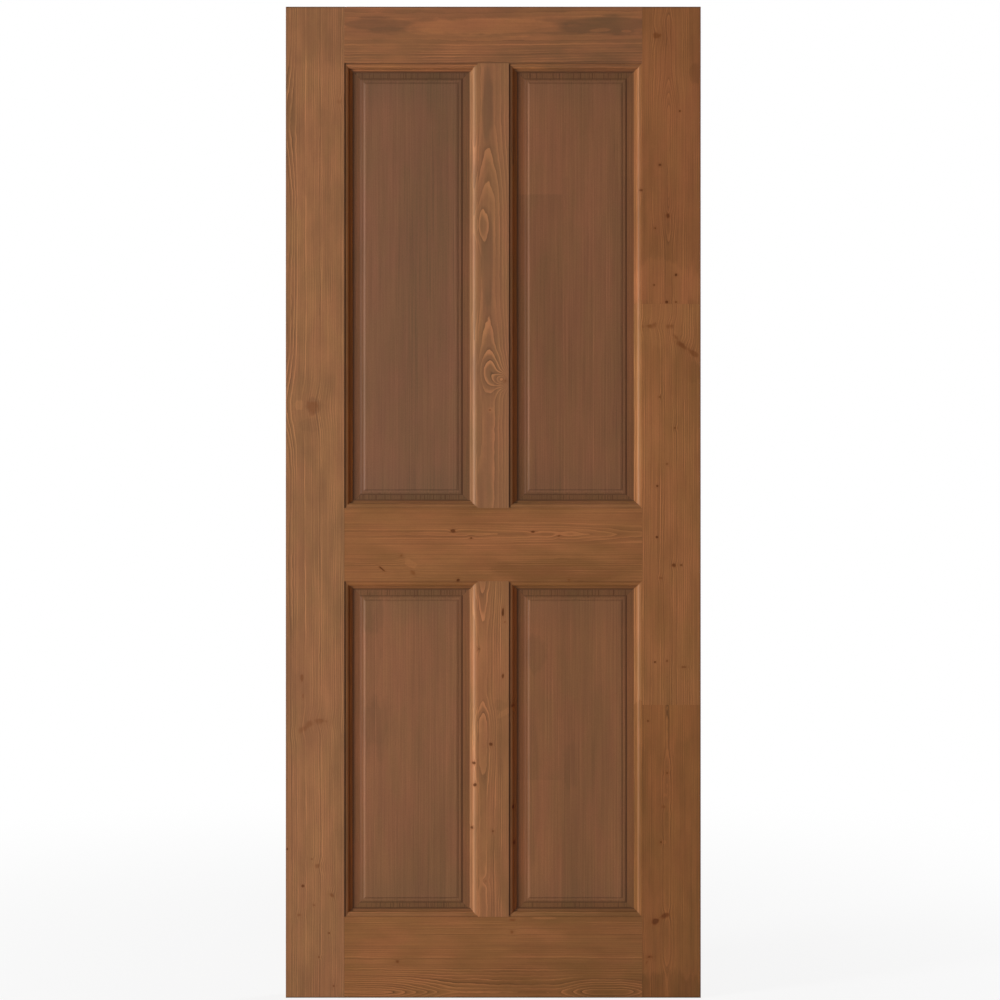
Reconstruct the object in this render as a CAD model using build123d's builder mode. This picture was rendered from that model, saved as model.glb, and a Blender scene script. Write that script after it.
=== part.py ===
from build123d import *
import os

# Four-panel timber door leaf: stiles, rails and muntins with coped joints, the rails dowelled to the
# stiles, round four raised panels that float in grooves. Both faces are alike.
# Millimetres. X runs across the leaf from the left stile to the right one, Y runs through it from
# the front face to the back, and Z runs up. The origin is the middle of the leaf's bottom edge.

# Leaf
leaf_width = 850.0
leaf_height = 2030.0
leaf_thickness = 40.0
arris = 1.0  # bevel that eases the leaf's outer edges

# Flat faces of the frame members, between their mouldings
stile_face = 120.0
top_rail_face = 116.0
lock_rail_face = 150.0
bottom_rail_face = 166.0
muntin_face = 64.0
lock_rail_height = 853.0  # from the floor to the lower edge of the lock rail's face

# Moulding worked along the edges of the members: quirk, ovolo, sloping fillet and a small drop
quirk_depth = 1.8
shoulder_width = 6.0  # flat beginning of the ovolo
shoulder_fall = 1.0
nose_width = 4.5  # steep end of the ovolo
nose_fall = 6.0
fillet_width = 6.0
fillet_fall = 1.0
sight_drop = 1.0

# Groove behind the moulding, and the room left in the joints
groove_depth = 12.0
glue_line = 0.1  # room for glue between coped faces and round dowels
panel_slip = 0.3  # play of a panel's tongue between the groove's walls
panel_side_gap = 4.0  # room for a panel to swell sideways in its groove
panel_top_gap = 2.0

# Raised panel: flat margin, cove, sloping strip and bead up to the field
raise_inset = 21.0  # from the panel's edge to the foot of the cove
cove_width = 5.0
cove_rise = 1.1
strip_width = 4.5
strip_rise = 0.4
bead_width = 5.0
bead_rise = 1.2

# Dowels between the rails and the stiles
dowel_diameter = 14.0
dowel_length = 140.0
dowel_inset = 32.0  # from the edge of a rail's face to its outermost dowels
dowel_pocket = 2.0  # spare depth of a bore beyond the dowel's end
dowel_count = 2  # at each end of a rail

# Finger joints between the three lengths of the right stile
lower_finger_height = 600.0  # where the joint's line crosses the stile's face
upper_finger_height = 1421.0
finger_length = 10.0
finger_tip = 0.6
finger_count = 8

# Chip broken from the top rail's front corner, beside the left stile
chip_width = 5.5
chip_height = 2.6
chip_depth = 3.0

overrun = 5.0  # how far a cut runs past what it cuts

# Places worked out from the sizes above
half_thickness = leaf_thickness / 2
stile_edge = leaf_width / 2 - stile_face
muntin_edge = muntin_face / 2
top_rail_low = leaf_height - top_rail_face
lock_rail_top = lock_rail_height + lock_rail_face
ovolo_width = shoulder_width + nose_width
moulding_width = ovolo_width + fillet_width
quirk_floor = half_thickness - quirk_depth
nose_level = quirk_floor - shoulder_fall
fillet_level = nose_level - nose_fall
sight_level = fillet_level - fillet_fall
groove_half = sight_level - sight_drop
groove_floor = moulding_width - groove_depth  # from a member's face edge to its groove's floor
rail_reach = stile_edge - glue_line

# Heights run along the first axis of this plane and the leaf's thickness along the second
rising = Plane(origin=(0, 0, 0), x_dir=(0, 0, 1), z_dir=(-1, 0, 0))


with BuildSketch() as moulding:
    with BuildLine():
        quirk = Line((0, 0), (0, -quirk_floor))
        shoulder = TangentArc(quirk @ 1, (shoulder_width, -nose_level), tangent=(1, 0))
        nose = TangentArc(shoulder @ 1, (ovolo_width, -fillet_level), tangent=shoulder % 1)
        Polyline(nose @ 1, (moulding_width, -sight_level), (moulding_width, 0), (0, 0))
    make_face()
    mirror(about=Plane.XZ)

with BuildSketch() as grooved_moulding:
    add(moulding.sketch)
    with Locations((groove_floor, 0)):
        Rectangle(
            groove_depth + overrun,
            2 * groove_half,
            align=(Align.MIN, Align.CENTER),
            mode=Mode.SUBTRACT,
        )

with BuildSketch() as cope:
    add(grooved_moulding.sketch)
    offset(amount=glue_line, kind=Kind.INTERSECTION)


def at_edges(low_edge=None, high_edge=None):
    """Places of a member's moulded edges: each points away from the face that it borders."""
    places = []
    if low_edge is not None:
        places.append(Location((low_edge, 0, 0), (0, 0, 180)))
    if high_edge is not None:
        places.append(Location((high_edge, 0, 0)))
    return places


def draw_member(low_edge, high_edge, moulded_edges):
    """Draw a member's cross-section in the sketch at hand: a flat-faced body and its mouldings."""
    with Locations((low_edge, 0)):
        Rectangle(high_edge - low_edge, leaf_thickness, align=(Align.MIN, Align.CENTER))
    with Locations(*moulded_edges):
        add(grooved_moulding.sketch)


def rail_dowels(low_edge, high_edge):
    """Middles of a rail's dowels, on the floors of both stiles' grooves, with their axes along X."""
    joint = stile_edge - groove_floor
    lowest = low_edge + dowel_inset
    spacing = (high_edge - dowel_inset - lowest) / (dowel_count - 1)
    heights = [lowest + step * spacing for step in range(dowel_count)]
    left = [Plane(origin=(-joint, 0, height), z_dir=(1, 0, 0)) for height in heights]
    right = [Plane(origin=(joint, 0, height), z_dir=(1, 0, 0)) for height in heights]
    return left, right


def bore(dowel_places):
    """Bore the piece at hand for the dowels at these places."""
    with Locations(*dowel_places):
        Hole(dowel_diameter / 2 + glue_line, depth=dowel_length / 2 + dowel_pocket)


def finish(piece, label):
    """Label a finished piece and write it to its own file."""
    piece.part.label = label
    export_step(piece.part, f"parts/{label}.step")


os.makedirs("parts", exist_ok=True)

top_left, top_right = rail_dowels(top_rail_low, leaf_height)
lock_left, lock_right = rail_dowels(lock_rail_height, lock_rail_top)
bottom_left, bottom_right = rail_dowels(0, bottom_rail_face)


# Left stile: one length, moulded and grooved from end to end
with BuildPart() as left_stile:
    with BuildSketch(Plane.XY) as stile_section:
        draw_member(-leaf_width / 2, -stile_edge, at_edges(high_edge=-stile_edge))
        chamfer(stile_section.vertices().group_by(Axis.X)[0], length=arris)
    extrude(amount=leaf_height)
    for end in (0, -1):
        end_edges = left_stile.faces().sort_by(Axis.Z)[end].edges().filter_by(Axis.X).group_by(Axis.Y)
        chamfer(end_edges[0] + end_edges[-1], length=arris)
    bore(top_left + lock_left + bottom_left)
finish(left_stile, "left_stile")


def finger_line(height):
    """Zigzag of a finger joint from the front face to the back, starting at height on the front."""
    pitch = leaf_thickness / finger_count
    points = [(-half_thickness, height)]
    for finger in range(finger_count):
        start = finger * pitch - half_thickness
        points.append((start + finger_tip / 2, height))
        points.append((start + (pitch - finger_tip) / 2, height + finger_length))
        points.append((start + (pitch + finger_tip) / 2, height + finger_length))
        points.append((start + pitch - finger_tip / 2, height))
    points.append((half_thickness, height))
    return points


def end_line(height):
    """Square end of the stile."""
    return [(-half_thickness, height), (half_thickness, height)]


# Right stile: the left one mirrored, in three lengths that are finger-jointed end to end
right_stile_lengths = {
    "right_stile_lower_length": (end_line(0), finger_line(lower_finger_height)),
    "right_stile_middle_length": (finger_line(lower_finger_height), finger_line(upper_finger_height)),
    "right_stile_upper_length": (finger_line(upper_finger_height), end_line(leaf_height)),
}
for label, (foot_line, head_line) in right_stile_lengths.items():
    with BuildPart() as right_stile_length:
        mirror(left_stile.part, about=Plane.YZ)
        with BuildSketch(Plane.YZ):
            with BuildLine():
                Polyline(*foot_line, *reversed(head_line), close=True)
            make_face()
        extrude(amount=leaf_width, mode=Mode.INTERSECT)
    finish(right_stile_length, label)


def cut_copes():
    """Cut both ends of the rail at hand to sit over the stiles' mouldings."""
    with BuildSketch(Plane.XY) as stile_copes:
        with Locations(*at_edges(low_edge=stile_edge, high_edge=-stile_edge)):
            add(cope.sketch)
    extrude(stile_copes.sketch, amount=leaf_height, mode=Mode.SUBTRACT)


# Top rail
with BuildPart() as top_rail:
    with BuildSketch(rising) as top_rail_section:
        draw_member(top_rail_low, leaf_height, at_edges(low_edge=top_rail_low))
        chamfer(top_rail_section.vertices().group_by(Axis.X)[-1], length=arris)
    extrude(amount=rail_reach, both=True)
    cut_copes()
    bore(top_left + top_right)
    with BuildSketch(Plane.XZ.offset(half_thickness - chip_depth)):
        with BuildLine():
            Polyline(
                (-rail_reach, leaf_height),
                (chip_width - rail_reach, leaf_height),
                (-rail_reach, leaf_height - chip_height),
                close=True,
            )
        make_face()
    extrude(amount=chip_depth, mode=Mode.SUBTRACT)
finish(top_rail, "top_rail")


# Lock rail
with BuildPart() as lock_rail:
    with BuildSketch(rising):
        draw_member(lock_rail_height, lock_rail_top, at_edges(lock_rail_height, lock_rail_top))
    extrude(amount=rail_reach, both=True)
    cut_copes()
    bore(lock_left + lock_right)
finish(lock_rail, "lock_rail")


# Bottom rail
with BuildPart() as bottom_rail:
    with BuildSketch(rising) as bottom_rail_section:
        draw_member(0, bottom_rail_face, at_edges(high_edge=bottom_rail_face))
        chamfer(bottom_rail_section.vertices().group_by(Axis.X)[0], length=arris)
    extrude(amount=rail_reach, both=True)
    cut_copes()
    bore(bottom_left + bottom_right)
finish(bottom_rail, "bottom_rail")


# Muntins: moulded on both edges and coped over the rails above and below, with a tongue in each groove
muntins = {
    "upper_muntin": (lock_rail_top, top_rail_low),
    "lower_muntin": (bottom_rail_face, lock_rail_height),
}
for label, (foot, head) in muntins.items():
    with BuildPart() as muntin:
        with BuildSketch(Plane.XY.offset(foot + glue_line)):
            draw_member(-muntin_edge, muntin_edge, at_edges(-muntin_edge, muntin_edge))
        extrude(amount=head - foot - 2 * glue_line)
        with BuildSketch(rising):
            with Locations(*at_edges(low_edge=head, high_edge=foot)):
                add(cope.sketch)
        extrude(amount=stile_edge, both=True, mode=Mode.SUBTRACT)
    finish(muntin, label)


def draw_panel(low_edge, high_edge):
    """Draw a panel's cross-section between its two edges in the sketch at hand."""
    half_width = (high_edge - low_edge) / 2
    tongue_level = groove_half - panel_slip
    cove_foot = half_width - raise_inset
    cove_head = cove_foot - cove_width
    bead_foot = cove_head - strip_width
    bead_head = bead_foot - bead_width
    strip_level = tongue_level + cove_rise
    bead_level = strip_level + strip_rise
    field_level = bead_level + bead_rise
    with BuildSketch(mode=Mode.PRIVATE) as panel_quarter:
        with BuildLine():
            edge = Polyline((0, 0), (half_width, 0), (half_width, -tongue_level), (cove_foot, -tongue_level))
            cove = TangentArc(edge @ 1, (cove_head, -strip_level), tangent=(-1, 0))
            strip = Line(cove @ 1, (bead_foot, -bead_level))
            field = Polyline((0, 0), (0, -field_level), (bead_head, -field_level))
            TangentArc(field @ 1, strip @ 1, tangent=(1, 0))
        make_face()
        mirror(about=Plane.YZ)
        mirror(about=Plane.XZ)
    with Locations(((low_edge + high_edge) / 2, 0)):
        add(panel_quarter.sketch)


# Panels: the raise is worked along all four edges, so its two cross-sections meet in mitres
panel_inner_edge = muntin_edge + groove_floor + panel_side_gap
panel_outer_edge = stile_edge - groove_floor - panel_side_gap
panel_spans = {
    "left": (-panel_outer_edge, -panel_inner_edge),
    "right": (panel_inner_edge, panel_outer_edge),
}
panel_rises = {
    "upper": (lock_rail_top + groove_floor, top_rail_low - groove_floor - panel_top_gap),
    "lower": (bottom_rail_face + groove_floor, lock_rail_height - groove_floor - panel_top_gap),
}
for level, (foot, head) in panel_rises.items():
    for side, (low_edge, high_edge) in panel_spans.items():
        with BuildPart() as panel:
            with BuildSketch(Plane.XY.offset(foot)):
                draw_panel(low_edge, high_edge)
            extrude(amount=head - foot)
            with BuildSketch(rising):
                draw_panel(foot, head)
            extrude(amount=leaf_width, both=True, mode=Mode.INTERSECT)
        finish(panel, f"{level}_{side}_panel")


# Dowels, one group in each stile
dowel_groups = {
    "left_dowels": top_left + lock_left + bottom_left,
    "right_dowels": top_right + lock_right + bottom_right,
}
for label, dowel_places in dowel_groups.items():
    with BuildPart() as dowels:
        with Locations(*dowel_places):
            Cylinder(dowel_diameter / 2, dowel_length)
    finish(dowels, label)
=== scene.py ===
# %% [markdown]
# # A four-panel timber door leaf
# The joinery is finished before this lesson starts: stiles, rails, muntins and raised panels come in
# from the workshop model at their real size. What is left is what a polisher and a photographer add:
# the grain, knots and stain of each board, and light that rakes across the mouldings. The leaf's
# shape stays as it is, so the first cell only loads the pieces and measures them.

# %% Load the joinery
import math
from types import SimpleNamespace

import bpy
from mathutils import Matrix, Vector


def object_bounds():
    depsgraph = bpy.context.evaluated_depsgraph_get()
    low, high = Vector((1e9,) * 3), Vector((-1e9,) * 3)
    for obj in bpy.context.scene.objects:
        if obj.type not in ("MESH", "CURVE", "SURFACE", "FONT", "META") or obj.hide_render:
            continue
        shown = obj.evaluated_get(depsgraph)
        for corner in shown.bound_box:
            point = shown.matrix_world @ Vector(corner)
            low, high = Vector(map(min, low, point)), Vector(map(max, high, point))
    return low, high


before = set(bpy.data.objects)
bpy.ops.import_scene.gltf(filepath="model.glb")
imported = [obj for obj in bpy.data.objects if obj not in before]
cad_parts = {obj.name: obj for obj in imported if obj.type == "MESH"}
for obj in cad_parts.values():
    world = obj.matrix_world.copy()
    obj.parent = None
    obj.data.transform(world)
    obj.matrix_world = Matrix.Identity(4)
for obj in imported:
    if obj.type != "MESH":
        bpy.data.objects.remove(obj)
joinery_low, joinery_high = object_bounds()
leaf_width = joinery_high.x - joinery_low.x
leaf_height = joinery_high.z - joinery_low.z
print(f"{len(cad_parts)} pieces, leaf {leaf_width:.3f} m wide and {leaf_height:.3f} m high")

# %% [markdown]
# ## Reading places off the photograph
# The camera faced the leaf squarely, so one scale turns pixels into metres anywhere on its face.
# The four named pixel values are where the leaf's outer edges lie in the 1000 pixel wide picture.
# Knots and flames of the grain are written in the same pixels, because that is how they were found,
# and two small functions turn them into places on the leaf.

# %% Photograph scale
photo_size_px = 1000
leaf_left_px = 285.65
leaf_right_px = 700.9
leaf_top_px = 6.6
leaf_bottom_px = 997.85
leaf_middle_px = (leaf_left_px + leaf_right_px) / 2
metres_per_pixel = leaf_height / (leaf_bottom_px - leaf_top_px)


def x_from_photo(pixel):
    """How far a photograph column lies from the middle of the leaf."""
    return (pixel - leaf_middle_px) * metres_per_pixel


def z_from_photo(pixel):
    """How high a photograph row lies above the foot of the leaf."""
    return (leaf_bottom_px - pixel) * metres_per_pixel


print(f"one pixel is {metres_per_pixel * 1000:.3f} mm")

# %% [markdown]
# ## Camera
# A level camera, aimed at the middle of the picture, keeps the leaf's edges upright without any
# lens shift. Only its distance is a guess: about four metres, the usual room for photographing
# a door. The lens then follows from the width that the picture covers on the leaf's front face.

# %% Camera
camera_distance = 4.2
level_aim = (math.radians(90), 0, 0)
picture_width = photo_size_px * metres_per_pixel

bpy.ops.object.select_all(action="DESELECT")
bpy.ops.object.camera_add(
    location=(
        x_from_photo(photo_size_px / 2),
        joinery_low.y - camera_distance,
        z_from_photo(photo_size_px / 2),
    ),
    rotation=level_aim,
)
camera = bpy.context.object
camera.name = "photo_camera"
camera.data.lens = camera.data.sensor_width * camera_distance / picture_width
bpy.context.scene.camera = camera
bpy.context.scene.view_settings.view_transform = "Standard"
print(f"lens {camera.data.lens:.1f} mm")

# %% [markdown]
# ## Shader arithmetic
# A wood finish is mostly sums: distances from the heart of the tree, years counted from them, and
# masks for knots. Wiring those by hand takes hundreds of Math nodes, so a small class stands for
# one socket and lets Python's own operators add the nodes. The reflected forms, such as __rsub__,
# are what Python calls when a plain number stands first, as in 1 - mask.

# %% Sockets that can be added and multiplied
class Wire:
    """One output socket of a material: arithmetic on it adds Math nodes to that material."""

    def __init__(self, finish, socket):
        self.finish = finish
        self.socket = socket

    def __add__(self, other):
        return self.finish.math("ADD", self, other)

    def __radd__(self, other):
        return self.finish.math("ADD", other, self)

    def __sub__(self, other):
        return self.finish.math("SUBTRACT", self, other)

    def __rsub__(self, other):
        return self.finish.math("SUBTRACT", other, self)

    def __mul__(self, other):
        return self.finish.math("MULTIPLY", self, other)

    def __rmul__(self, other):
        return self.finish.math("MULTIPLY", other, self)

    def __truediv__(self, other):
        return self.finish.math("DIVIDE", self, other)

    def __rtruediv__(self, other):
        return self.finish.math("DIVIDE", other, self)


print("a wire can be added, subtracted, multiplied and divided")

# %% [markdown]
# ## Building a node tree
# Every other node comes from one method: the node's type, its settings, then a value or a wire for
# each socket. Settings go first, because some of them change which sockets a node has. A few short
# methods name the nodes that a finish needs again and again. Mix has separate sockets for numbers,
# vectors and colours under the same names, so its colour sockets are picked by number.

# %% Finish under construction
mix_factor, mix_first, mix_second, mix_colour = 0, 6, 7, 2


class Finish:
    """The node tree of a material or a world, under construction."""

    def __init__(self, owner):
        owner.use_nodes = True
        self.tree = owner.node_tree
        self.tree.nodes.clear()

    def add(self, kind, settings=None, sockets=None):
        """Add a node: its settings first, then a value or a wire for each socket."""
        node = self.tree.nodes.new("ShaderNode" + kind)
        for setting, value in (settings or {}).items():
            setattr(node, setting, value)
        for socket, value in (sockets or {}).items():
            if isinstance(value, Wire):
                self.tree.links.new(value.socket, node.inputs[socket])
            else:
                node.inputs[socket].default_value = value
        return node

    def wire(self, kind, settings=None, sockets=None, output=0):
        """Add a node and return one of its outputs."""
        return Wire(self, self.add(kind, settings, sockets).outputs[output])

    def math(self, operation, *values):
        """Arithmetic that has no operator of its own."""
        return self.wire("Math", {"operation": operation}, dict(enumerate(values)))

    def smooth(self, value, low, high):
        """0 at low, 1 at high and an easy curve between them; low may be the larger of the two."""
        sockets = {"Value": value, "From Min": low, "From Max": high}
        return self.wire("MapRange", {"interpolation_type": "SMOOTHSTEP"}, sockets)

    def vector(self, x, y, z=0.0):
        """Three numbers or wires as one vector."""
        return self.wire("CombineXYZ", None, {"X": x, "Y": y, "Z": z})

    def length(self, vector):
        """How long a vector is."""
        return self.wire("VectorMath", {"operation": "LENGTH"}, {0: vector}, output="Value")

    def blend(self, amount, first, second, blend_type="MIX"):
        """Mix two colours."""
        settings = {"data_type": "RGBA", "blend_type": blend_type}
        sockets = {mix_factor: amount, mix_first: first, mix_second: second}
        return self.wire("Mix", settings, sockets, output=mix_colour)

    def extreme(self, operation, *values):
        """The MINIMUM or MAXIMUM of several wires."""
        result = values[0]
        for value in values[1:]:
            result = self.math(operation, result, value)
        return result


print("node trees ready")

# %% [markdown]
# ## Colours of the stain
# Colours are easiest to read as the red, green and blue of a picture, from 0 to 255, but a shader
# wants linear light. One function converts them, by the standard curve of screen colours. Knots
# take the stain darkest. The deepest brown stands both for stain that stays thick in corners and for
# the painted shade in them. The two drifts are not colours but tints: a board wanders a little
# towards olive here and towards rose there.

# %% Colours
def stain(red, green, blue):
    """A picture colour as the linear colour that a shader takes."""
    linear = []
    for channel in (red, green, blue):
        share = channel / 255
        linear.append(share / 12.92 if share <= 0.04045 else ((share + 0.055) / 1.055) ** 2.4)
    return (*linear, 1.0)


knot_rim = stain(110, 58, 22)
knot_brown = stain(72, 32, 4)
# deep brown for pooled stain and for painted shade in corners and on the side away from the lamp
pooled_stain_and_shade = stain(46, 15, 0)
olive_drift = (0.975, 1.014, 0.978, 1.0)
rosy_drift = (1.025, 0.986, 1.022, 1.0)
print("knot", [round(channel, 3) for channel in knot_brown])

# %% [markdown]
# ## Spots
# A knot, a bend in the grain and a cloud in the stain are all round or oval, so they share one
# measure: how far a point is from the middle, counted so that 1 is the rim. It could be worked out
# with a dozen Math nodes, but a Mapping node set to Texture does the moving, turning and scaling in
# one go. A hill turns that distance into a soft mound, for whatever fades away from the middle.

# %% Spots
def spot(finish, face, column, row, half_width, half_height, turn):
    """Distance from the middle of an oval spot, given in pixels of the photograph; 1 is its rim."""
    local = finish.wire(
        "Mapping",
        {"vector_type": "TEXTURE"},
        {
            "Vector": face,
            "Location": (x_from_photo(column), z_from_photo(row), 0.0),
            "Rotation": (0.0, 0.0, math.radians(turn)),
            "Scale": (half_width * metres_per_pixel, half_height * metres_per_pixel, 1.0),
        },
    )
    return finish.length(local)


def hill(finish, distance, reach=1.0):
    """1 in the middle of a spot, falling softly to nothing."""
    return finish.math("EXPONENT", distance * distance * (-1 / reach**2))


print("spots ready")

# %% [markdown]
# ## Bands and blocks
# A glued-up board changes tone along straight joints instead. A band is everything between two
# lines, a block is everything between four, and their edges are softened by a pixel so that a joint
# doesn't look cut out with scissors. Bands also serve for the lines of stain along a moulding.

# %% Bands and blocks
def band(finish, value, low, high, soft):
    """1 between low and high, with soft edges outside them."""
    return finish.smooth(value, low - soft, low) * (1.0 - finish.smooth(value, high, high + soft))


def block(finish, point, left, right, top, bottom):
    """1 inside a rectangle given in pixels of the photograph."""
    beside = band(finish, point.x, x_from_photo(left), x_from_photo(right), metres_per_pixel)
    between = band(finish, point.z, z_from_photo(bottom), z_from_photo(top), metres_per_pixel)
    return beside * between


print("bands and blocks ready")

# %% [markdown]
# ## Where the stain and painted shade gather
# Wiped stain stays behind in the corners: in the quirk beside a member's flat face, at the foot of
# its ovolo, where moulding and panel meet, and along the lines of the raise. The same darkening also
# paints the shade that falls in those corners. Those places lie at fixed distances from a piece's
# sides. The sides could be typed in again, but the pieces' own boxes tell where they are, and stay
# true if the joinery changes.

# %% Distances from the sides
def sides_of(low, high):
    """The left, right, bottom and top of a box."""
    return {"left": low[0], "right": high[0], "bottom": low[2], "top": high[2]}


def piece_sides(node_name):
    """The left, right, bottom and top of a piece."""
    corners = [tuple(corner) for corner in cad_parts[node_name].bound_box]
    return sides_of([min(places) for places in zip(*corners)], [max(places) for places in zip(*corners)])


def distances(point, sides):
    """How far a point lies inside each side of a box."""
    within = {}
    for side, place in sides.items():
        coordinate = point.x if side in ("left", "right") else point.z
        within[side] = coordinate - place if side in ("left", "bottom") else place - coordinate
    return within


print({name: piece_sides(name) for name in ("left_stile", "upper_left_panel")})

# %% [markdown]
# ## Stain and painted shading on the mouldings
# Each side of a member has a tint for its whole moulding, another for its nose, and its own share of
# darkening in the quirk, at the nose's foot and along the sight line, where the moulding meets the
# panel. Part of this is stain that stays in the corners, but the differences between the sides are
# painted light and shade. The left sides face the lamp: their lighter, whiter tints are a painted
# highlight, and they get no darkening. The right sides are turned away: their deep red-brown tints
# and strong quirk darkening are painted shade, reddened as light that has bounced between dark wood
# comes back redder.

# %% Stain and painted shading on the mouldings
no_tint = (1.0, 1.0, 1.0, 1.0)
# Per side: stain in the corners, with painted highlight on the left sides and painted shade on the right.
moulding_stain_and_shading = {
    "left": SimpleNamespace(
        tint=(1.09, 1.15, 1.16, 1.0), nose=(1.05, 1.06, 1.08, 1.0), quirk=0.0, foot=0.0, sight=0.0
    ),
    "right": SimpleNamespace(
        tint=(0.92, 0.78, 0.6, 1.0), nose=(1.08, 0.79, 0.3, 1.0), quirk=0.9, foot=0.35, sight=0.1
    ),
    "bottom": SimpleNamespace(
        tint=(0.97, 0.94, 0.84, 1.0), nose=no_tint, quirk=0.25, foot=0.5, sight=0.65
    ),
    "top": SimpleNamespace(
        tint=(0.98, 1.04, 1.15, 1.0), nose=no_tint, quirk=0.12, foot=0.3, sight=0.65
    ),
}
print("stain in the quirk by side", {side: held.quirk for side, held in moulding_stain_and_shading.items()})

# %% [markdown]
# ## Stain and painted shading on the panels
# Round a raised panel runs a thin margin, then a cove and a bead that lift the field. Stain darkens
# the margin up to a fading line, pools on the sight line and stands in the cove and under the bead.
# The sides differ by painted light and shade: the left margin, in the shadow of the moulding beside
# it, gets a deeper tint and a darker sight line, which are painted shade; the right margin's lighter
# tint paints light bounced from the lit moulding, and its dark cove is painted shade of the raise
# turned from the lamp. At the top and bottom margins the cutter has crossed the grain, and the open
# ends of the fibres drink the stain in short ticks. The fields, too, are a little darker towards
# their ends.

# %% Stain and painted shading on the panels
bead_foot = 0.0305
bead_line = 0.033
# Per side: stain, with painted shade on the left and in the right cove and painted bounce light on the right
# margin.
panel_stain_and_shading = {
    "left": SimpleNamespace(
        tint=(0.74, 0.65, 0.54, 1.0), fade=bead_line, hidden=0.008, sight=0.4, cove=0.0, bead=0.0, ticks=0.0
    ),
    "right": SimpleNamespace(
        tint=(0.9, 0.84, 0.73, 1.0), fade=bead_foot, hidden=0.008, sight=0.0, cove=0.8, bead=0.0, ticks=0.0
    ),
    "bottom": SimpleNamespace(
        tint=(0.79, 0.78, 0.65, 1.0), fade=bead_foot, hidden=0.012, sight=0.35, cove=0.5, bead=0.4, ticks=0.5
    ),
    "top": SimpleNamespace(
        tint=(0.77, 0.75, 0.66, 1.0), fade=bead_foot, hidden=0.01, sight=0.45, cove=0.4, bead=0.25, ticks=0.5
    ),
}
print(f"panel margins {bead_foot * 1000:.1f} mm wide, groove included")

# %% [markdown]
# ## Front and back
# The values above describe the front, and the differences between their sides are painted light and
# shade. The back of the leaf is moulded in the same way, but there the lamp shines from the other
# hand, so its left and right sides swap. One mask, 1 in front of the middle of the leaf and 0 behind
# it, picks the right value at each point, and where both faces have the same value no node is spent
# on it.

# %% Front and back
other_hand = {"left": "right", "right": "left", "bottom": "bottom", "top": "top"}
middle_depth = (joinery_low.y + joinery_high.y) / 2
soft_edge = 0.001


def stain_and_shading_by_face(finish, point, stains, sides):
    """The stain and painted light and shade on some sides; on the back face, where the lamp shines from the
    other hand, mirrored.
    """
    front = finish.smooth(point.y, middle_depth + soft_edge, middle_depth - soft_edge)
    held = {}
    for side in sides:
        behind = vars(stains[other_hand[side]])
        held[side] = SimpleNamespace()
        for name, value in vars(stains[side]).items():
            if value != behind[name] and isinstance(value, tuple):
                value = finish.blend(front, behind[name], value)
            elif value != behind[name]:
                value = behind[name] + front * (value - behind[name])
            setattr(held[side], name, value)
    return held


print(f"front and back meet at a depth of {middle_depth * 1000:.1f} mm")

# %% [markdown]
# ## Stain and painted shade held by a frame member
# Along the leaf's outer edges a line a few millimetres wide on the faces is darkened, least on the
# side facing the lamp: painted shade of the arris. The edges themselves stay clean. Every place
# where stain gathers or shade is painted gives a share from 0 to 1. The largest of them counts,
# because stain on stain is no darker than a full pool. The widths are read off the moulding's
# profile, in metres from its outer edge.

# %% Stain and painted shade held by a frame member
moulded_sides = {
    "left_stile": ("right",),
    "right_stile_upper_length": ("left",),
    "right_stile_middle_length": ("left",),
    "right_stile_lower_length": ("left",),
    "top_rail": ("bottom",),
    "lock_rail": ("bottom", "top"),
    "bottom_rail": ("top",),
    "upper_muntin": ("left", "right"),
    "lower_muntin": ("left", "right"),
}
moulding_width = 0.0165
shoulder_end = 0.0078
quirk_start = 0.0004
quirk_end = 0.0016
nose_foot = 0.0105
fillet_width = 0.006
arris_width = 0.004
arris_depth = 0.003
# painted shade along the outer arris, least on the side facing the lamp
arris_shade = {"left": 0.3, "right": 0.7, "bottom": 0.7, "top": 0.8}
leaf_sides = sides_of(joinery_low, joinery_high)


def stain_and_shade_on_member(finish, node_name, point):
    """Stain and painted shade held by a frame member: the share of it at each point, and masks with their
    tints.
    """
    from_face = finish.math("MINIMUM", point.y - joinery_low.y, joinery_high.y - point.y)
    near_face = finish.smooth(from_face, arris_depth, soft_edge)
    shares = []
    tints = []
    # painted shade along the outer arris of the leaf
    for side, within in distances(point, leaf_sides).items():
        shares.append(finish.smooth(within, arris_width, 0.0) * near_face * arris_shade[side])
    moulded = moulded_sides[node_name]
    sides = piece_sides(node_name)
    inside = distances(point, {side: sides[side] for side in moulded})
    # stain in the corners together with painted shade, and tints that paint light and shade by side
    for side, held in stain_and_shading_by_face(finish, point, moulding_stain_and_shading, moulded).items():
        moulding = moulding_width - inside[side]
        shares.append(band(finish, moulding, quirk_start, quirk_end, soft_edge) * held.quirk)
        shares.append(band(finish, moulding, nose_foot, nose_foot, soft_edge) * held.foot)
        shares.append(finish.smooth(inside[side], fillet_width, 0.0) * held.sight)
        tints.append((finish.smooth(moulding, 0.0, soft_edge), held.tint))
        tints.append((finish.smooth(moulding, shoulder_end - soft_edge, shoulder_end), held.nose))
    return finish.extreme("MAXIMUM", *shares), tints


print(f"{len(moulded_sides)} members with mouldings {moulding_width * 1000:.1f} mm wide")

# %% [markdown]
# ## Stain and painted shade held by a panel
# A panel's four margins meet in mitres at its corners. The nearest side of a point tells which
# margin it lies on, so each side's stain and painted shade end along the mitre, as the stain does on
# the machined panel.

# %% Stain and painted shade held by a panel
cove_line = 0.0235
margin_fade = 0.008
sight_fade = 0.003
line_fade = 0.002
field_fade = 0.11
field_end_tint = (0.9, 0.95, 0.97, 1.0)
tick_start = 0.02
tick_full = 0.14


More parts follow.
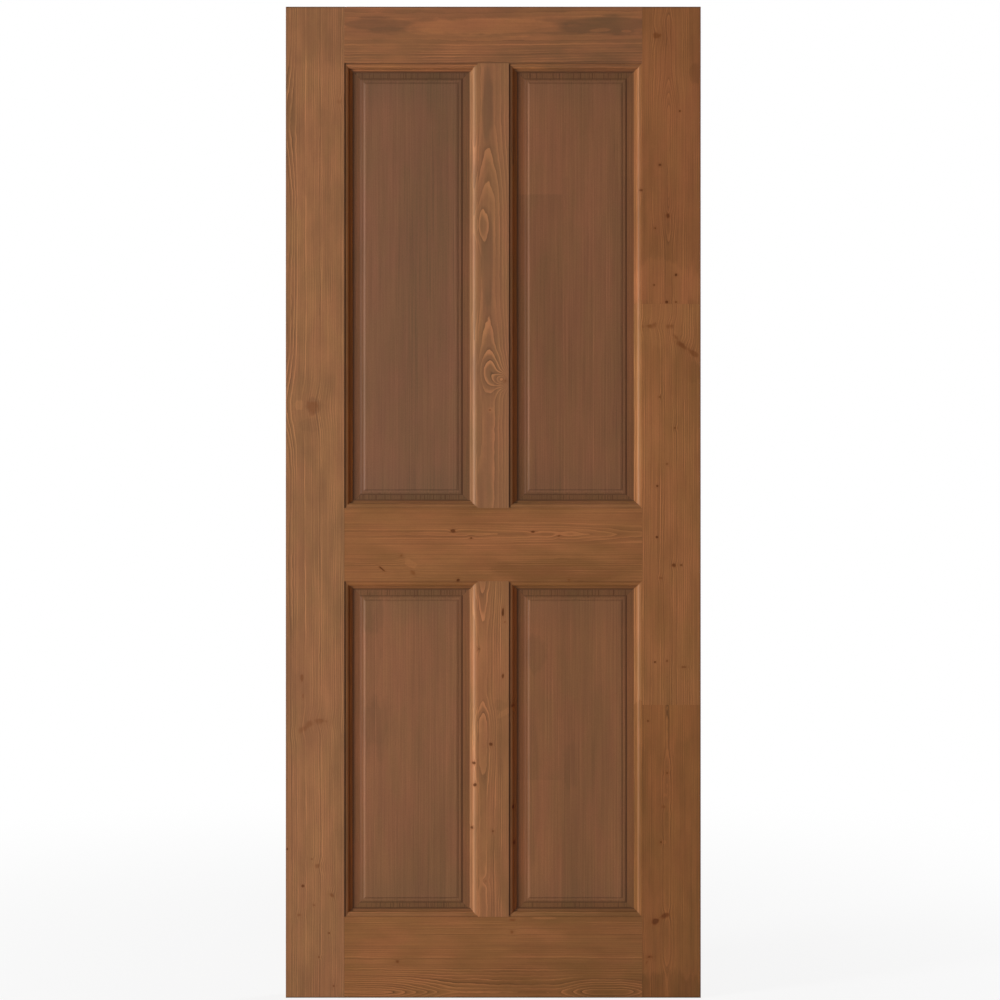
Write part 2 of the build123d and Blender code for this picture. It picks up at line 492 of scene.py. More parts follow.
def stain_and_shade_on_panel(finish, node_name, point):
    """Stain and painted shade held by a panel: the share of it at each point, and masks with their tints."""
    inside = distances(point, piece_sides(node_name))
    nearest = finish.extreme("MINIMUM", *inside.values())
    from_end = finish.math("MINIMUM", inside["bottom"], inside["top"])
    tick = finish.smooth(point.rough.streak, tick_start, tick_full)
    shares = []
    tints = [(finish.smooth(from_end, field_fade, bead_foot), field_end_tint)]
    # per side: stain, with painted shade on the left and in the right cove and painted bounce light on the
    # right margin
    for side, held in stain_and_shading_by_face(finish, point, panel_stain_and_shading, inside).items():
        within = inside[side]
        mitre = finish.smooth(within - nearest, soft_edge, 0.0)
        margin = finish.smooth(within, held.fade, held.fade - margin_fade) * mitre
        shares.append(finish.smooth(within, held.hidden + sight_fade, held.hidden) * mitre * held.sight)
        shares.append(band(finish, within, cove_line, cove_line, line_fade) * mitre * held.cove)
        shares.append(band(finish, within, bead_line, bead_line, line_fade) * mitre * held.bead)
        shares.append(margin * tick * held.ticks)
        tints.append((margin, held.tint))
    return finish.extreme("MAXIMUM", *shares), tints


print(f"panel fields darken over the last {field_fade * 1000:.0f} mm")

# %% [markdown]
# ## Unevenness of a board
# No tree grows evenly, so everything about the grain wavers. Noise stretched along the board gives
# that, and each kind of waver has two rates, across and along the grain, in waves per metre: from
# broad drifts of tone down to single fibres. The same noises are used for several things at once,
# which ties them together as in real wood and keeps the number of nodes down.

# %% Unevenness of a board
noise_rates = {
    "broad": (10.0, 2.0),
    "cloud": (40.0, 12.0),
    "drift": (30.0, 9.0),
    "reach": (36.0, 8.0),
    "waver": (90.0, 9.0),
    "wobble": (70.0, 45.0),
    "streak": (330.0, 5.0),
    "fibre": (1200.0, 40.0),
    "grit": (420.0, 420.0),
}
noise_middle = 0.5


def unevenness(finish, seed, point):
    """The slow and quick noises of a board, each around zero."""
    rough = SimpleNamespace()
    for name, (across_rate, along_rate) in noise_rates.items():
        across = point.across * across_rate + seed
        place = finish.vector(across, point.y * across_rate, point.along * along_rate)
        noise = finish.wire("TexNoise", None, {"Vector": place, "Scale": 1.0})
        setattr(rough, name, noise - noise_middle)
    return rough


def point_of(finish, values):
    """A point of a board: its place in the leaf, across and along the grain, and its unevenness."""
    place = finish.wire("TexCoord", output="Object")
    x, y, z = (finish.wire("SeparateXYZ", None, {0: place}, output=axis) for axis in "XYZ")
    across, along = (z, x) if values.level else (x, z)
    point = SimpleNamespace(x=x, y=y, z=z, across=across, along=along, face=finish.vector(x, z))
    point.rough = unevenness(finish, values.seed, point)
    return point


print(f"{len(noise_rates)} kinds of unevenness")

# %% [markdown]
# ## Counting the rings
# A board is a slice of a trunk, and its pattern is where the slice cuts the yearly rings. A Wave
# texture would give even stripes. Instead the finish works out how far each point lies from the
# heart of the tree, which runs along the board, and divides it by a year's growth. Far from the
# heart the rings cut the face in straight lines. Near it, wherever the trunk swells by a year or
# two, they meet in a pointed flame, so a flame is a step in the count. A knot or a bend is a hill
# in the count, which the rings flow round.

# %% Ring count
knot_push = 0.2
knot_bend_reach = 2.2
width_rate = 0.45


def ring_count(finish, values, point):
    """Years from the heart of the tree at each point of a board."""
    rough = point.rough
    beside_heart = point.across - values.heart_across
    years = finish.length(finish.vector(beside_heart, point.y - values.heart_depth)) / values.year
    years = years + values.phase + rough.broad * values.wander
    years = years + rough.waver * values.ripple + rough.wobble * values.wobble
    for pixel, half_length, rings, reach in values.flames_px:
        tip = x_from_photo(pixel) if values.level else z_from_photo(pixel)
        run = half_length * metres_per_pixel
        near_heart = hill(finish, beside_heart / (reach * metres_per_pixel))
        years = years + finish.smooth(point.along, tip - run, tip + run) * near_heart * rings
    for *oval, rings in values.bends_px:
        years = years + hill(finish, spot(finish, point.face, *oval)) * rings
    for column, row, half_width, half_height, turn, _ in values.knots_px:
        distance = spot(finish, point.face, column, row, half_width, half_height, turn)
        rings = (min(half_width, half_height) + 1) * knot_push
        years = years + hill(finish, distance, knot_bend_reach) * rings
    sockets = {"W": years * width_rate + values.seed, "Scale": 1.0}
    width = finish.wire("TexNoise", {"noise_dimensions": "1D"}, sockets)
    return years + (width - noise_middle) * values.uneven


print("ring count ready")

# %% [markdown]
# ## Late wood
# A year starts with pale, soft early wood and ends with a hard line of late wood. The whole part of
# the ring count picks each year's luck, a strong line or hardly any, and its fraction is how far the
# year has run. A narrow dark line follows where the next year begins. Luck alone would draw a line
# as strongly from one end of a board to the other, so slow noise lets lines come and go.

# %% Late wood
plain_year = 0.2
lucky_year = 1.3
faint_place = 0.3
strong_place = 0.9
place_change = 0.15
late_start = 0.45
late_full = 0.95
late_end = 0.96
dark_line_end = 0.3


def rings_of(finish, values, point, years):
    """Late wood, the dark line after it, and the luck of each year around zero."""
    year = finish.math("FLOOR", years)
    age = finish.math("FRACT", years)
    luck = finish.wire("TexWhiteNoise", {"noise_dimensions": "1D"}, {"W": year + values.seed})
    clear = finish.smooth(point.rough.reach, -place_change, place_change) * strong_place + faint_place
    strength = (luck * luck * lucky_year + plain_year) * clear
    for *oval, gain in values.vivid_px:
        strength = strength + hill(finish, spot(finish, point.face, *oval)) * gain
    late = finish.smooth(age, late_start, late_full) * (1.0 - finish.smooth(age, late_end, 1.0))
    dark_line = 1.0 - finish.smooth(age, 0.0, dark_line_end)
    return late * strength, dark_line * strength, luck - noise_middle


print(f"late wood from {late_start:.0%} of a year")

# %% [markdown]
# ## Warm and cool tones
# Stained softwood is never one brown. It moves between a warm and a cool tone, slowly over a board,
# at once where two staves are glued, and in patches with ragged edges where resin kept the stain
# out. So a board has two colours, and this step works out how far along the way from the first to
# the second each point is.

# %% Warm and cool tones
middle_tone = 0.5
patch_start = 0.3
patch_full = 0.55
patch_waver = 0.9
patch_wobble = 0.3


def tone_of(finish, values, point):
    """From 0, the warm colour of a board, to 1, its cool colour."""
    rough = point.rough
    tone = middle_tone + rough.broad * values.broad_tone + rough.cloud * values.cloud_tone
    for *edges, shift in values.blocks_px:
        tone = tone + block(finish, point, *edges) * shift
    for *oval, shift in values.patches_px:
        patch = hill(finish, spot(finish, point.face, *oval))
        patch = patch + rough.waver * patch_waver + rough.wobble * patch_wobble
        tone = tone + finish.smooth(patch, patch_start, patch_full) * shift
    return tone


print("tones ready")

# %% [markdown]
# ## Knots
# A knot is a branch cut across: a dark heart with a ragged outline, a reddish rim, and a stained
# halo round it. Geometry would be wasted on it, since a planed knot is flush with the board, so it
# is only a mask. Where two knots of one whorl touch, the darker one shows.

# %% Knots
knot_ragged = 2.5
knot_core = 0.2
knot_edge = 1.3
halo_reach = 1.9
halo_share = 0.35


def knots_of(finish, values, point):
    """How much of a knot's brown shows at each point."""
    shares = []
    for *oval, strength in values.knots_px:
        distance = spot(finish, point.face, *oval)
        heart = 1.0 - finish.smooth(distance + point.rough.wobble * knot_ragged, knot_core, knot_edge)
        halo = hill(finish, distance, halo_reach) * halo_share
        shares += [heart * strength, halo * strength]
    return finish.extreme("MAXIMUM", *shares)


print("knots ready")

# %% [markdown]
# ## Colour of the wood
# Now the steps come together. Late wood pulls the tone towards the warm colour and the year's luck
# pushes it either way. Lines, streaks and single fibres then shade the result, which is a scaling
# of the colour and so a job for Vector Math, because a Math node would turn the colour grey. A slow
# drift between olive and rose is the last touch.

# %% Colour of the wood
ring_balance = 0.15
late_shade = 0.6
fibre_shade = 0.1
drift_change = 0.2


def wood_colour(finish, values, point, late, dark_line, luck):
    """The colour of a board before its knots and the stain in its corners."""
    rough = point.rough
    tone = tone_of(finish, values, point) - late * values.ring_tone
    tone = tone + luck * values.year_tone + values.ring_tone * ring_balance
    shade = 1.0 + (late * late_shade - dark_line) * values.line
    shade = shade + rough.streak * values.streak + rough.grit * values.grit + rough.fibre * fibre_shade
    colour = finish.blend(tone, values.warm, values.cool)
    colour = finish.wire("VectorMath", {"operation": "SCALE"}, {0: colour, "Scale": shade})
    drift = finish.blend(finish.smooth(rough.drift, -drift_change, drift_change), olive_drift, rosy_drift)
    return finish.blend(1.0, colour, drift, "MULTIPLY")


print("wood colour ready")

# %% [markdown]
# ## Finish of one board
# Over the wood's colour come its knots, then the tints of the mouldings, which are partly painted
# light and shade, and the pooled stain and painted shade last, because it lies on top of everything.
# Wiped stain leaves a silky surface, rough where fibres and knots are open, and a shallow bump lets
# the light catch the grain. The gloss level is the same all over, so it is set on the shader's own
# socket.

# %% Finish of one board
knot_brown_start = 0.3
knot_brown_full = 0.8
knot_full = 0.6
knot_cover = 0.85
silk_roughness = 0.5
fibre_roughness = 0.2
knot_roughness = 0.4
silk_gloss = 0.2
grain_depth = 0.0004
grain_strength = 0.2
fibre_height = 0.6
late_height = 0.4
streak_height = 0.5


def timber(name, values, stain_and_shade_held=None):
    """The finish of one board, from its growth, knots, stain and painted shading."""
    material = bpy.data.materials.new(name)
    finish = Finish(material)
    point = point_of(finish, values)
    rough = point.rough
    late, dark_line, luck = rings_of(finish, values, point, ring_count(finish, values, point))
    colour = wood_colour(finish, values, point, late, dark_line, luck)
    roughness = silk_roughness + rough.fibre * fibre_roughness
    if values.knots_px:
        knot = knots_of(finish, values, point)
        knot_colour = finish.blend(
            finish.smooth(knot, knot_brown_start, knot_brown_full), knot_rim, knot_brown
        )
        colour = finish.blend(finish.smooth(knot, 0.0, knot_full) * knot_cover, colour, knot_colour)
        roughness = roughness + knot * knot_roughness
    if stain_and_shade_held:
        share, tints = stain_and_shade_held(finish, name, point)
        # these tints and the pooled colour paint light and shade as well as stain
        for mask, tint in tints:
            colour = finish.blend(mask, colour, tint, "MULTIPLY")
        colour = finish.blend(share, colour, pooled_stain_and_shade)

    height = rough.fibre * fibre_height + late * late_height + rough.streak * streak_height
    grain = {"Strength": grain_strength, "Distance": grain_depth, "Height": height}
    sockets = {
        "Base Color": colour,
        "Roughness": roughness,
        "Normal": finish.wire("Bump", None, grain),
        "Specular IOR Level": silk_gloss,
    }
    finish.add("OutputMaterial", None, {"Surface": finish.wire("BsdfPrincipled", None, sockets)})
    return material


print("timber ready")

# %% [markdown]
# ## The boards
# Every board came from its own tree, so each has its own heart, growth and knots. A board's values
# start from one plain pattern, straight grain far from the heart, and only what differs is written.
# All the marks are in pixels of the photograph. A knot, bend, patch or vivid place is an oval
# (column, row, half width, half height, turn in degrees) and its strength. A block is (left, right,
# top, bottom) and its shift of tone. A flame is (place along the board, half length, rings, reach),
# and points up or to the right if its rings are positive.

# %% Plain board
boards = {}


def board(seed, warm, cool, heart_px=None, **growth):
    """A board's values: plain straight grain, changed by what is given."""
    plain = {
        "level": False,
        "heart_across": -1.2,
        "heart_depth": 0.03,
        "year": 0.0044,
        "phase": 0.0,
        "wander": 2.5,
        "ripple": 0.8,
        "wobble": 0.5,
        "uneven": 1.2,
        "broad_tone": 1.4,
        "cloud_tone": 1.0,
        "ring_tone": 0.6,
        "year_tone": 0.2,
        "line": 0.14,
        "streak": 0.2,
        "grit": 0.16,
        "flames_px": [],
        "vivid_px": [],
        "knots_px": [],
        "bends_px": [],
        "patches_px": [],
        "blocks_px": [],
    }
    values = SimpleNamespace(seed=seed, warm=warm, cool=cool, **(plain | growth))
    if heart_px is not None:
        values.heart_across = z_from_photo(heart_px) if values.level else x_from_photo(heart_px)
    return values


def tell(*names):
    """Print how many marks boards have."""
    for name in names:
        values = boards[name]
        flames, knots, patches = len(values.flames_px), len(values.knots_px), len(values.patches_px)
        print(f"{name}: {flames} flames, {knots} knots, {patches} patches")


print("plain board ready")

# %% [markdown]
# ## Left stile
# This is one length of straight-grained timber with wide, even rings. Four bends along its outer
# edge pull the lines into slow curves. Its one large knot, two fifths of the way down, is pale, so
# it is a patch and a weak knot together. Small knots gather near the foot.

# %% Left stile
boards["left_stile"] = board(
    seed=11.0,
    warm=stain(150, 101, 64),
    cool=stain(119, 80, 50),
    broad_tone=0.9,
    cloud_tone=1.1,
    ring_tone=0.55,
    line=0.26,
    streak=0.3,
    bends_px=[
        (283, 405, 12, 45, 0, 4.0),
        (283, 120, 10, 60, 0, 3.0),
        (283, 300, 9, 60, 0, 2.5),
        (283, 560, 8, 60, 0, 2.0),
    ],
    patches_px=[
        (299, 405, 4, 5, 0, -0.4),
        (313.5, 406, 9, 9, 0, 0.35),
        (310, 425, 14, 7, 0, 0.15),
        (314, 30, 40, 40, 0, 0.2),
    ],
    knots_px=[
        (313.5, 406, 8.5, 8.5, 0, 0.34),
        (339, 102, 4, 3.5, 0, 0.25),
        (302, 678, 1.5, 4, 0, 0.4),
        (303, 696, 1, 3, 0, 0.35),
        (305, 727, 9, 4, 35, 0.34),
        (323, 721, 9, 3.8, -12, 0.36),
        (287, 849, 1.4, 1.2, 0, 0.6),
        (312, 859, 1.2, 1, 0, 0.5),
        (318, 866, 5, 3, 0, 0.35),
        (303, 886, 1.4, 1.2, 0, 0.6),
        (332, 895, 4, 2, -30, 0.4),
        (314, 905, 1.2, 1.2, 0, 0.6),
        (299, 915, 3, 2, 0, 0.35),
        (329, 933, 1.2, 1.2, 0, 0.6),
        (319, 957, 1.4, 1.2, 0, 0.5),
        (334, 986, 1.4, 1.2, 0, 0.6),
    ],
)
tell("left_stile")

# %% [markdown]
# ## Right stile, upper length
# The right stile is three lengths finger-jointed end to end, and each is a board of its own. The
# upper one was cut close to the heart, so its rings close in long flames down the middle. A strip
# along its outer edge is a shade cooler, and the same strip runs on through the middle length.

# %% Right stile, upper length
boards["right_stile_upper_length"] = board(
    seed=23.0,
    warm=stain(147, 92, 54),
    cool=stain(119, 73, 39),
    heart_px=668.5,
    heart_depth=-0.015,
    wander=1.2,
    ring_tone=0.55,
    line=0.34,
    streak=0.36,
    flames_px=[(14, 10, 1, 14), (90, 22, 2.4, 14), (228, 26, -2.0, 12)],
    vivid_px=[(668, 95, 14, 40, 0, 0.4), (668, 215, 12, 50, 0, 0.3)],
    patches_px=[(695, 73, 6, 13, 0, 0.35), (664, 284, 40, 26, 0, -0.4)],
    blocks_px=[(689, 705, 0, 310, 0.12)],
    knots_px=[
        (658, 36, 4.5, 4, 0, 0.45),
        (680, 111, 1.2, 1.2, 0, 0.75),
        (660, 165, 1.8, 1.5, 0, 0.9),
        (641, 190, 2, 1.2, 0, 0.6),
        (668, 216, 2.6, 3, 0, 0.65),
        (655, 228, 1.2, 1.2, 0, 0.8),
        (676, 275, 1.6, 1.6, 0, 0.9),
        (654, 285, 1.2, 1.2, 0, 0.7),
        (667, 302, 1.8, 1.6, 0, 0.85),
        (676, 302, 1.2, 1, 0, 0.6),
    ],
)
tell("right_stile_upper_length")

# %% [markdown]
# ## Right stile, middle length
# Below the upper joint lies a whorl: several branches that left the trunk at one height and were cut
# lengthwise, so they show as a level arm and a slanting one. Each arm is a chain of long, thin
# knots. The rest is plain straight grain with pin knots.

# %% Right stile, middle length
boards["right_stile_middle_length"] = board(
    seed=31.0,
    warm=stain(151, 97, 57),
    cool=stain(124, 79, 42),
    ring_tone=0.6,
    line=0.3,
    streak=0.38,
    patches_px=[(695, 372, 6, 12, 0, 0.35), (664, 322, 40, 26, 0, -0.2)],
    blocks_px=[(689, 705, 300, 710, 0.12)],
    knots_px=[
        (649, 326, 9, 3.2, 4, 0.44),
        (671, 326, 5.5, 3.4, 0, 0.4),
        (676, 337, 5, 2.4, -50, 0.4),
        (683, 346, 9, 3.4, -38, 0.48),
        (693, 353, 7, 2.6, -32, 0.42),
        (660, 397, 1.4, 1.4, 0, 0.85),
        (675, 428, 1.5, 1.5, 0, 0.7),
        (667, 464, 2, 2, 0, 0.45),
        (657, 486, 1.3, 1.3, 0, 0.7),
        (657, 537, 1.2, 1.2, 0, 0.7),
        (674, 565, 2.6, 2, 0, 0.6),
        (681, 565, 1.4, 1.2, 0, 0.6),
        (661, 578, 3, 2, 0, 0.4),
        (638, 582, 1.2, 1.2, 0, 0.7),
        (655, 662, 1.2, 1.2, 0, 0.7),
        (667, 661, 1.2, 1.2, 0, 0.7),
        (684, 667, 3.5, 1.3, 0, 0.55),
    ],
)
tell("right_stile_middle_length")

# %% [markdown]
# ## Right stile, lower length
# The lower length is the darkest of the three and was cut near the heart again. Beside some of its
# knots the wood tore and stayed pale, and small patches with a strong pull to the warm colour stand
# for that. Towards the foot the stile grows cooler.

# %% Right stile, lower length
boards["right_stile_lower_length"] = board(
    seed=43.0,
    warm=stain(138, 86, 46),
    cool=stain(107, 67, 31),
    heart_px=667,
    heart_depth=-0.015,
    wander=1.2,
    ring_tone=0.6,
    line=0.3,
    streak=0.38,
    flames_px=[(758, 12, 1.2, 10), (966, 14, -2.2, 9)],
    patches_px=[
        (665, 795, 2, 2, 0, -0.8),
        (664, 842, 2, 2, 0, -0.6),
        (665, 727, 1.2, 22, 0, -0.6),
        (664, 718, 44, 30, 0, -0.15),
        (668, 992, 44, 22, 0, 0.45),
    ],
    blocks_px=[(689, 705, 700, 1000, -0.05)],
    knots_px=[
        (648, 721, 1.2, 1.2, 0, 0.7),
        (667, 773, 2, 1.6, 0, 0.8),
        (664, 807, 3, 2, 0, 0.4),
        (661, 842, 1.8, 1.6, 0, 0.8),
        (656, 921, 5, 3.4, 25, 0.62),
        (664, 916, 7, 2.8, 25, 0.55),
        (649, 957, 4.5, 2.4, 10, 0.62),
        (647, 962, 4.5, 1.2, 60, 0.5),
    ],
)
tell("right_stile_lower_length")

# %% [markdown]
# ## Top rail
# The grain of a rail lies level, so level swaps across and along. This one has no knots. What marks
# it are long patches: cool and greyish at both ends, warm between them, and two small warm tongues
# inside the right-hand one.

# %% Top rail
boards["top_rail"] = board(
    seed=57.0,
    warm=stain(150, 95, 59),
    cool=stain(107, 72, 46),
    level=True,
    heart_px=26.5,
    broad_tone=0.6,
    ring_tone=0.5,
    line=0.2,
    streak=0.28,
    patches_px=[
        (378, 24, 36, 7, 0, 0.34),
        (392, 31, 28, 4, 0, 0.24),
        (485, 27, 80, 9, 0, -0.42),
        (560, 31, 36, 4, 0, 0.25),
        (605, 25, 46, 10, 0, 0.46),
        (600, 30, 14, 2.2, 4, -0.55),
        (626, 31, 6, 1.6, 0, -0.5),
    ],
)
tell("top_rail")

# %% [markdown]
# ## Lock rail
# The broad middle rail shows nested flames that point to the right, along a heart just behind its
# face. Three flames of one ring each, closer and closer together, draw them. A few pin knots lie on
# the same line, because branches start at the heart.

# %% Lock rail
boards["lock_rail"] = board(
    seed=61.0,
    warm=stain(147, 94, 55),
    cool=stain(117, 74, 38),
    level=True,
    heart_px=534,
    heart_depth=-0.016,
    phase=-0.41,
    wander=0.8,
    ring_tone=0.5,
    flames_px=[(505, 60, 1, 10), (585, 30, 1, 10), (617, 16, 1, 10)],
    vivid_px=[(545, 534, 95, 8, 0, 1.2)],
    patches_px=[(411, 564, 8, 4, -40, -0.4), (560, 570, 80, 12, 0, 0.3)],
    knots_px=[
        (453, 530.5, 2.4, 2, 0, 0.65),
        (471, 538, 1.6, 1.4, 0, 0.8),
        (533, 532, 2.6, 1.3, 0, 0.65),
        (559, 536, 2.6, 1.8, 30, 0.55),
        (401, 556, 2.4, 2.4, 0, 0.55),
        (414, 573, 4, 2.4, -40, 0.4),
        (458, 580, 1.7, 1.5, 0, 0.9),
        (569, 580, 1.5, 1.3, 0, 0.75),
        (382, 569, 4, 1, -40, 0.8),
    ],
)
tell("lock_rail")

# %% [markdown]
# ## Bottom rail
# Here the heart runs along the foot of the leaf, so the flames show only in the lowest part of the
# rail and the rings above them lie straight. Vivid places make the flames stand out on the left and
# on the right, and leave the middle quiet.

# %% Bottom rail
boards["bottom_rail"] = board(
    seed=73.0,
    warm=stain(144, 92, 53),
    cool=stain(115, 74, 37),
    level=True,
    heart_px=992,
    heart_depth=-0.016,
    year=0.004,
    wander=1.2,
    ring_tone=0.5,
    line=0.24,
    streak=0.34,
    flames_px=[(420, 40, 5, 14), (575, 20, -3, 12), (640, 20, 3, 12)],
    vivid_px=[(415, 983, 75, 13, 0, 1.6), (605, 986, 50, 11, 0, 1.5)],
    patches_px=[
        (545, 918, 11, 1.2, 0, -0.6),
        (590, 950, 70, 40, 0, 0.15),
        (400, 950, 60, 40, 0, -0.1),
    ],
    knots_px=[
        (512, 932, 2.6, 2.6, 0, 0.45),
        (512, 920, 4, 1.4, 0, 0.4),
        (397.5, 962, 2.5, 2, 0, 0.5),
    ],
)
tell("bottom_rail")

# %% [markdown]
# ## Upper muntin
# This short upright has the finest figure of the leaf: pointed flames, an eye, and a swirl of nested
# arches round a knot. Uneven ring widths would break the arches, so they are turned off and the
# noises are kept low. The swirl is two bends, a wide one and a tight one, set off from each other.

# %% Upper muntin
boards["upper_muntin"] = board(
    seed=83.0,
    warm=stain(154, 102, 66),
    cool=stain(108, 75, 49),
    heart_px=488,
    heart_depth=0.026,
    year=0.0036,
    phase=-0.28,
    wander=0.3,
    ripple=0.4,
    wobble=0.4,
    uneven=0.0,
    broad_tone=0.4,
    cloud_tone=0.4,
    ring_tone=0.55,
    line=0.28,
    streak=0.3,
    flames_px=[(150, 30, 1, 30), (183, 26, 1, 30), (318, 30, 1, 30)],
    vivid_px=[
        (487, 165, 9, 32, 0, 0.8),
        (482, 225, 9, 22, 0, 0.8),
        (486, 330, 8, 22, 0, 0.8),
        (492, 368, 13, 16, 0, 0.35),
        (503, 190, 8, 160, 0, 0.3),
        (500, 450, 10, 70, 0, 0.4),
    ],
    bends_px=[
        (480, 225, 8, 20, 0, -1.6),
        (494, 372, 17, 18, 0, -2.4),
        (504, 380, 8, 7, 0, -6.0),
        (479, 490, 5, 42, 5, -1.2),
    ],
    patches_px=[(488, 105, 6, 40, 0, 0.35), (488, 270, 7, 45, 0, 0.3)],
    knots_px=[(505, 381, 2.2, 1.5, 0, 0.7), (490, 410, 1.2, 1.2, 0, 0.5)],
)
tell("upper_muntin")

# %% [markdown]
# ## Lower muntin
# The lower upright has flames that point down near its top, and up and down at mid height, and many
# pin knots along both edges. One bend at its right edge tips the lines where a branch left the
# trunk.

# %% Lower muntin
boards["lower_muntin"] = board(
    seed=97.0,
    warm=stain(156, 102, 64),
    cool=stain(118, 78, 47),
    heart_px=483,
    heart_depth=0.0,
    year=0.0036,
    phase=-0.06,
    wander=0.6,
    ripple=0.8,
    uneven=0.0,
    broad_tone=0.8,
    cloud_tone=0.8,
    ring_tone=0.65,
    line=0.26,
    streak=0.3,
    flames_px=[(592, 16, -1, 20), (620, 20, -1, 20), (704, 12, 1, 20), (716, 12, 1, 20), (776, 30, -1, 20)],
    vivid_px=[(482, 602, 8, 20, 0, 0.6), (484, 715, 9, 18, 0, 0.6), (484, 765, 6, 18, 0, 0.4)],
    bends_px=[(513, 708, 8, 10, 0, 1.5)],
    patches_px=[(504, 713, 9, 3, 35, -0.2), (500, 705, 7, 6, 0, 0.15)],
    knots_px=[
        (503, 612, 1.3, 4.5, 0, 0.9),
        (505, 622, 1.8, 1.4, 0, 0.4),
        (479, 649, 1.3, 1.6, 0, 0.7),
        (503, 676, 1.2, 2.4, 0, 0.6),
        (491, 744, 2, 1.8, 0, 0.65),
        (493, 831, 1.5, 1.5, 0, 0.7),
        (512, 706, 2.5, 4, 0, 0.7),
        (513, 807, 1.6, 3, 0, 0.7),
        (514, 843, 1.6, 3, 0, 0.7),
        (474, 763, 1.6, 1.4, 0, 0.85),
        (474.6, 785, 1.7, 1.5, 0, 0.9),
        (472, 828, 1.5, 1.5, 0, 0.8),
        (486, 881, 2.5, 2.5, 0, 0.3),
    ],
)
tell("lower_muntin")

# %% [markdown]
# ## Panels
# The panels are clear timber, glued up from staves, with narrow rings and fine streaks. They share
# one growth, and each has its own colours and its own staves as blocks. Some staves change tone
# part of the way up, because a stave can be pieced out of two lengths.

# %% Panels
panel_growth = {
    "year": 0.003,
    "broad_tone": 0.9,
    "cloud_tone": 0.35,
    "ring_tone": 0.35,
    "line": 0.13,
    "streak": 0.5,
    "grit": 0.34,
}
boards["upper_left_panel"] = board(
    seed=103.0,
    warm=stain(127, 84, 58),
    cool=stain(101, 70, 47),
    blocks_px=[(340, 398, 60, 510, -0.08), (398, 448, 60, 510, 0.12), (448, 480, 60, 510, -0.05)],
    **panel_growth,
)
boards["upper_right_panel"] = board(
    seed=111.0,
    warm=stain(133, 86, 57),
    cool=stain(107, 71, 45),
    blocks_px=[(505, 562, 60, 194, -0.1), (505, 562, 194, 510, 0.2)],
    patches_px=[(585, 190, 20, 60, 0, -0.15), (617, 300, 5, 170, 0, 0.2)],
    **panel_growth,
)
boards["lower_left_panel"] = board(
    seed=127.0,
    warm=stain(140, 91, 60),
    cool=stain(110, 74, 47),
    blocks_px=[(340, 395, 575, 920, -0.1), (412, 445, 575, 920, 0.14), (445, 480, 575, 920, -0.05)],
    patches_px=[
        (372, 612, 12, 22, 0, 0.3),
        (374, 726, 21, 36, 0, 0.17),
        (375, 724, 14, 24, 0, 0.2),
        (372, 665, 8, 60, 0, 0.22),
    ],
    **panel_growth,
)
boards["lower_right_panel"] = board(
    seed=139.0,
    warm=stain(137, 88, 56),
    cool=stain(108, 72, 44),
    blocks_px=[(505, 561.5, 781, 920, -0.2), (561.5, 595, 575, 920, 0.14)],
    patches_px=[(536, 655, 11, 20, 0, 0.25), (533, 800, 7, 80, 0, 0.2), (571, 766, 9, 26, 0, 0.2)],
    **panel_growth,
)
tell("upper_left_panel", "upper_right_panel", "lower_left_panel", "lower_right_panel")

# %% [markdown]
# ## Staining the leaf
# Each piece of joinery has one material slot, so the finish goes straight into it and the shape is
# left alone. One finish for all would be quicker, but then every board would have the same knots.
# The dowels are plain pale birch inside the joints, without any stain.

# %% Stain every piece
for node_name, values in boards.items():
    stain_and_shade_held = stain_and_shade_on_member if node_name in moulded_sides else stain_and_shade_on_panel
    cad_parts[node_name].material_slots[0].material = timber(node_name, values, stain_and_shade_held)
dowel_wood = timber("dowels", board(seed=151.0, warm=stain(214, 183, 148), cool=stain(196, 163, 126)))
for node_name in ("left_dowels", "right_dowels"):
    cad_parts[node_name].material_slots[0].material = dowel_wood
print(f"{len(boards)} boards stained")

# %% [markdown]
# ## Studio floor
# The picture has a plain white ground. More light would make the floor white but bleach the leaf
# too, so the floor is a wide disc that adds white only where it is seen, and a little less of it
# close to the leaf, where the soft shadow should stay. Seen means by the camera, in a gloss or
# through glass, and Light Path tells which of them a ray is.

# %% Studio floor
floor_radius = 40.0
floor_corners = 96
floor_gap = 0.0003
near_white = 0.85
shadow_reach = 0.6
all_white_from = 3.0
white = (1.0, 1.0, 1.0, 1.0)
pale_card = (0.8, 0.8, 0.8, 1.0)


def is_seen(finish):
    """1 for rays that look at a surface: from the camera, off a gloss or through glass."""
    looks = ("Is Camera Ray", "Is Glossy Ray", "Is Transmission Ray")
    return finish.extreme("MAXIMUM", *(finish.wire("LightPath", output=look) for look in looks))


bpy.ops.object.select_all(action="DESELECT")
bpy.ops.mesh.primitive_circle_add(
    vertices=floor_corners,
    radius=floor_radius,
    fill_type="NGON",
    location=(0, 0, joinery_low.z - floor_gap),
)
bpy.ops.object.transform_apply(location=True, rotation=True, scale=True)
floor = bpy.context.object
floor.name = "studio_floor"
floor.data.materials.append(bpy.data.materials.new("studio_white"))

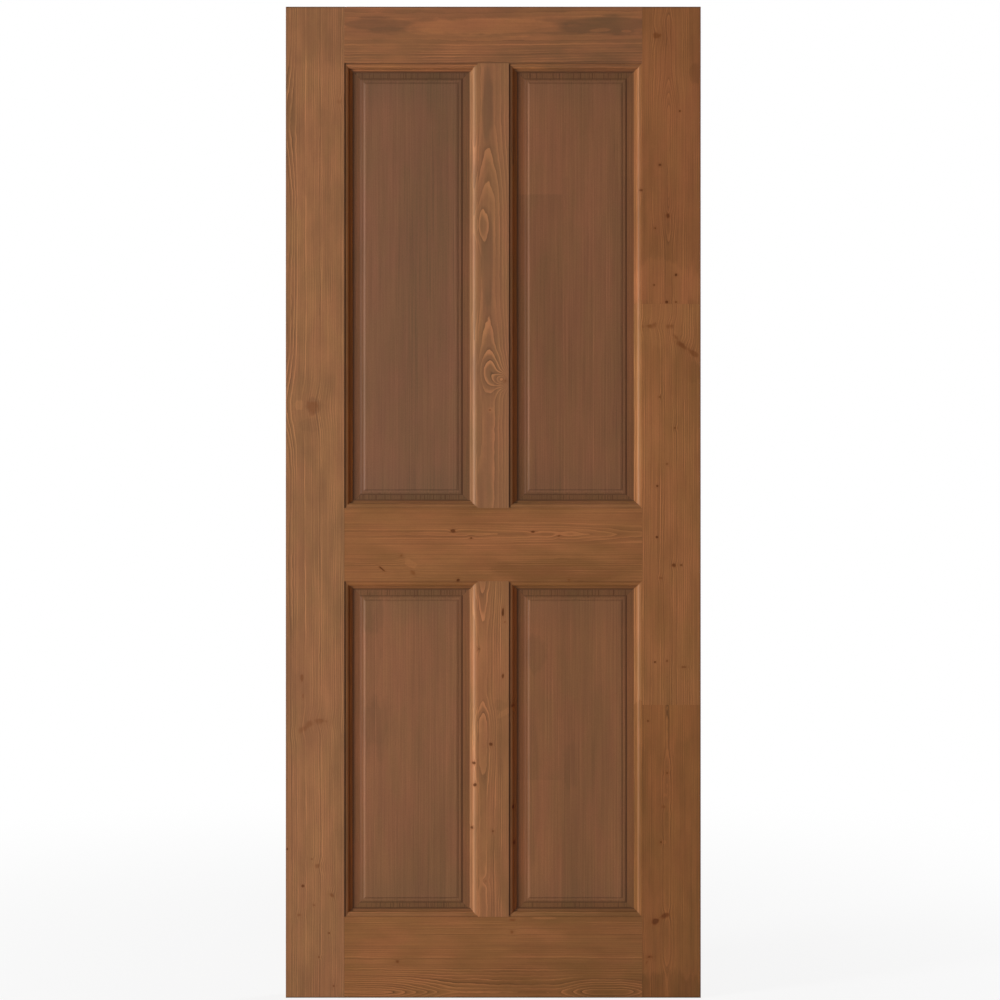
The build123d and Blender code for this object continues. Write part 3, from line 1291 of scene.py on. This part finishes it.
floor_finish = Finish(floor.data.materials[0])
from_leaf = floor_finish.length(floor_finish.wire("TexCoord", output="Object"))
whiteness = near_white + floor_finish.smooth(from_leaf, shadow_reach, all_white_from) * (1 - near_white)
card = floor_finish.wire("BsdfDiffuse", None, {"Color": pale_card})
glow = floor_finish.wire("Emission", None, {"Color": white})
sockets = {0: is_seen(floor_finish) * whiteness, 1: card, 2: glow}
floor_finish.add("OutputMaterial", None, {"Surface": floor_finish.wire("MixShader", None, sockets)})
print(f"floor {2 * floor_radius:.0f} m across")

# %% [markdown]
# ## World
# Beyond the floor the picture is white as well. The world is white to the eye, and to everything
# else only a dim even light that fills the shadows, as a white room would.

# %% World
fill_light = 0.2

world = bpy.data.worlds.new("studio_world")
bpy.context.scene.world = world
sky = Finish(world)
strength = fill_light + is_seen(sky) * (1 - fill_light)
sky_light = sky.wire("Background", None, {"Color": white, "Strength": strength})
sky.add("OutputWorld", None, {"Surface": sky_light})
print(f"fill light {fill_light}")

# %% [markdown]
# ## Lamps
# The mouldings show best in raking light. One tall soft box stands far out to the left and only a
# little in front, so faces turned to it shine and those turned away fall dark. A twin behind the
# leaf does the same for its back, and a narrow strip straight above lights the top edge, which the
# other two can't reach.

# %% Lamps
lamp_reach = 6.3
lamp_rake = math.radians(28)
lamp_height = 1.1
lamp_width = 1.2
lamp_length = 2.6
lamp_power = 530.0
strip_height = 4.5
strip_width = 0.3
strip_power = 14.0


def soft_box(name, location, aim, width, length, power):
    """A soft lamp that stands at a place and shines along a direction."""
    bpy.ops.object.select_all(action="DESELECT")
    bpy.ops.object.light_add(type="AREA", location=location)
    lamp = bpy.context.object
    lamp.name = name
    lamp.data.shape = "RECTANGLE"
    lamp.data.size = width
    lamp.data.size_y = length
    lamp.data.energy = power
    lamp.rotation_euler = Vector(aim).to_track_quat("-Z", "Y").to_euler()
    return lamp


beside = lamp_reach * math.cos(lamp_rake)
before = lamp_reach * math.sin(lamp_rake)
tall_box = (lamp_width, lamp_length, lamp_power)
lamps = [
    soft_box("front_soft_box", (-beside, -before, lamp_height), (beside, before, 0), *tall_box),
    soft_box("back_soft_box", (beside, before, lamp_height), (-beside, -before, 0), *tall_box),
    soft_box("top_strip", (0, 0, strip_height), (0, 0, -1), lamp_width, strip_width, strip_power),
]
print("lamps at", [tuple(round(value, 2) for value in lamp.location) for lamp in lamps])

# %% [markdown]
